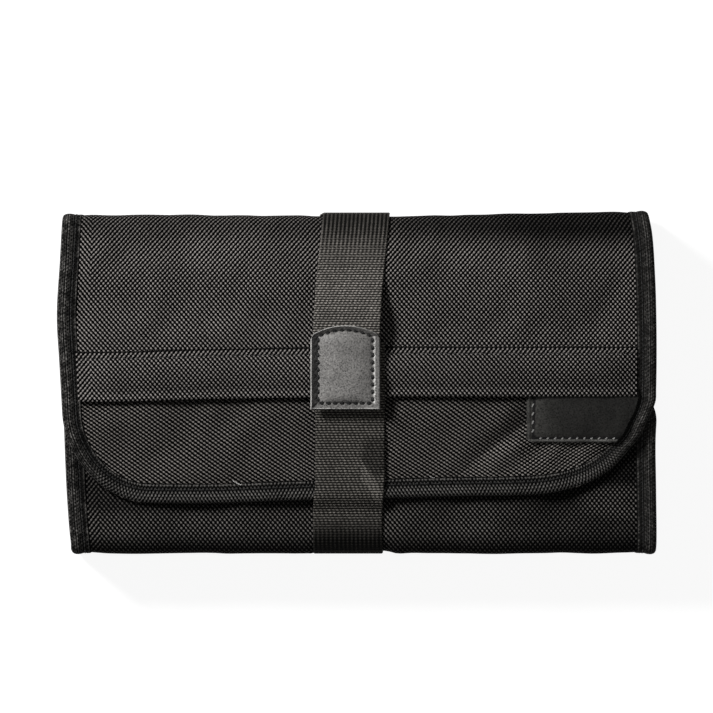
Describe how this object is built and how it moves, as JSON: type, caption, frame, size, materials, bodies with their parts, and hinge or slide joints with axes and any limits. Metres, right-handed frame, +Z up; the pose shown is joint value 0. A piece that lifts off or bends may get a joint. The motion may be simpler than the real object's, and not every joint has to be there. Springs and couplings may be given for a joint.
{
  "type": "roll-up toiletry bag",
  "caption": "Padded roll-up toiletry bag with a bound flap, storm placket over a zip pocket, inner zip pouches and a webbing strap closed by a leather tab.",
  "frame": {"origin": "middle of the underside; the closed bag lies on its back, front face up", "axes": "+X across the bag to the right, +Y towards its top edge, +Z up, out of its front face"},
  "size_m": [0.33, 0.1906, 0.0616],
  "materials": {
    "outer_nylon": "coarse plain weave, coated",
    "foam_padding": "closed-cell foam sheet",
    "lining": "thin smooth nylon",
    "binding_tape": "fine woven tape",
    "webbing": "ribbed webbing",
    "pouch_nylon": "fine plain weave",
    "mesh": "open knitted mesh",
    "leather": "pebbled grain, semi-gloss",
    "hook_and_loop": "hooks and loops",
    "zip_tape": "woven zip tape",
    "zip_teeth": "moulded teeth",
    "zip_metal": "dark gunmetal"
  },
  "bodies": {
    "back_section": {"back_shell": "outer_nylon", "back_padding": "foam_padding", "back_lining": "lining", "back_binding": "binding_tape", "strap_back": "webbing", "shell_folds_back": "outer_nylon", "strap_folds_back": "webbing", "binding_folds_back": "binding_tape", "upper_pouch": "pouch_nylon", "upper_pouch_zip_tape": "zip_tape", "upper_pouch_zip_teeth": "zip_teeth"},
    "top_spine": {"top_spine_shell": "outer_nylon", "top_spine_padding": "foam_padding", "top_spine_lining": "lining", "top_spine_binding": "binding_tape", "strap_top": "webbing", "shell_fold_top": "outer_nylon", "strap_fold_top": "webbing", "binding_fold_top": "binding_tape"},
    "flap": {"flap_shell_upper": "outer_nylon", "flap_pocket_front": "outer_nylon", "flap_pocket_back": "lining", "flap_padding": "foam_padding", "flap_lining": "lining", "flap_binding": "binding_tape", "flap_mesh_pocket": "mesh", "placket": "outer_nylon", "label_patch": "leather", "outer_zip_tape": "zip_tape", "outer_zip_teeth": "zip_teeth"},
    "outer_slider": {"outer_zip_slider": "zip_metal", "outer_zip_pull": "zip_metal"},
    "bottom_spine": {"bottom_spine_shell": "outer_nylon", "bottom_spine_padding": "foam_padding", "bottom_spine_lining": "lining", "bottom_spine_binding": "binding_tape", "strap_bottom": "webbing", "shell_fold_bottom": "outer_nylon", "strap_fold_bottom": "webbing", "binding_fold_bottom": "binding_tape"},
    "front_section": {"front_shell": "outer_nylon", "front_padding": "foam_padding", "front_lining": "lining", "front_binding": "binding_tape", "front_pouch": "pouch_nylon", "front_pouch_zip_tape": "zip_tape", "front_pouch_zip_teeth": "zip_teeth"},
    "upper_pouch_slider": {"upper_pouch_zip_slider": "zip_metal"},
    "upper_pouch_pull": {"upper_pouch_zip_pull": "zip_metal"},
    "front_pouch_slider": {"front_pouch_zip_slider": "zip_metal"},
    "front_pouch_pull": {"front_pouch_zip_pull": "zip_metal"},
    "strap_upper_end": {"strap_upper_webbing": "webbing", "leather_tab": "leather", "hook_patch": "hook_and_loop"},
    "strap_lower_end": {"strap_lower_webbing": "webbing", "loop_patch": "hook_and_loop"}
  },
  "joints": [
    {"name": "flap_open", "type": "hinge", "parent": "back_section", "child": "top_spine", "pos_m": [0, 0.09, 0.0045], "axis": [-1, 0, 0], "range_deg": [0, 87], "deforming": ["shell_folds_back", "strap_folds_back", "binding_folds_back", "strap_lower_webbing", "loop_patch"]},
    {"name": "flap_fold", "type": "hinge", "parent": "top_spine", "child": "flap", "pos_m": [0, 0.09, 0.0478], "axis": [-1, 0, 0], "range_deg": [0, 87], "deforming": ["shell_fold_top", "strap_fold_top", "binding_fold_top"]},
    {"name": "front_open", "type": "hinge", "parent": "back_section", "child": "bottom_spine", "pos_m": [0, -0.09, 0.0045], "axis": [1, 0, 0], "range_deg": [0, 87]},
    {"name": "front_fold", "type": "hinge", "parent": "bottom_spine", "child": "front_section", "pos_m": [0, -0.09, 0.0425], "axis": [1, 0, 0], "range_deg": [0, 87], "deforming": ["shell_fold_bottom", "strap_fold_bottom", "binding_fold_bottom"]},
    {"name": "strap_lift", "type": "hinge", "parent": "flap", "child": "strap_upper_end", "pos_m": [0, 0.09, 0.0532], "axis": [-1, 0, 0], "range_deg": [0, 170]},
    {"name": "strap_lower_lift", "type": "hinge", "parent": "front_section", "child": "strap_lower_end", "pos_m": [0, -0.09, 0.0479], "axis": [1, 0, 0], "range_deg": [0, 85]},
    {"name": "outer_zip_slide", "type": "slide", "parent": "flap", "child": "outer_slider", "axis": [1, 0, 0], "range_m": [0, 0.24]},
    {"name": "upper_pouch_zip_slide", "type": "slide", "parent": "back_section", "child": "upper_pouch_slider", "axis": [1, 0, 0], "range_m": [0, 0.24]},
    {"name": "front_pouch_zip_slide", "type": "slide", "parent": "front_section", "child": "front_pouch_slider", "axis": [1, 0, 0], "range_m": [0, 0.24]},
    {"name": "upper_pouch_pull_flip", "type": "hinge", "parent": "upper_pouch_slider", "child": "upper_pouch_pull", "pos_m": [-0.13, 0.062, 0.0458], "axis": [0, -1, 0], "range_deg": [0, 87]},
    {"name": "front_pouch_pull_flip", "type": "hinge", "parent": "front_pouch_slider", "child": "front_pouch_pull", "pos_m": [-0.13, -0.03, 0.0071], "axis": [0, 1, 0], "range_deg": [0, 87]}
  ],
  "couplings": [
    {"joint": "flap_fold", "follows": "flap_open", "ratio": 1},
    {"joint": "front_open", "follows": "flap_open", "ratio": 1},
    {"joint": "front_fold", "follows": "flap_open", "ratio": 1},
    {"joint": "upper_pouch_pull_flip", "follows": "flap_open", "ratio": 1},
    {"joint": "front_pouch_pull_flip", "follows": "flap_open", "ratio": 1},
    {"joint": "strap_lower_lift", "follows": "strap_lift", "ratio": 0.5}
  ]
}
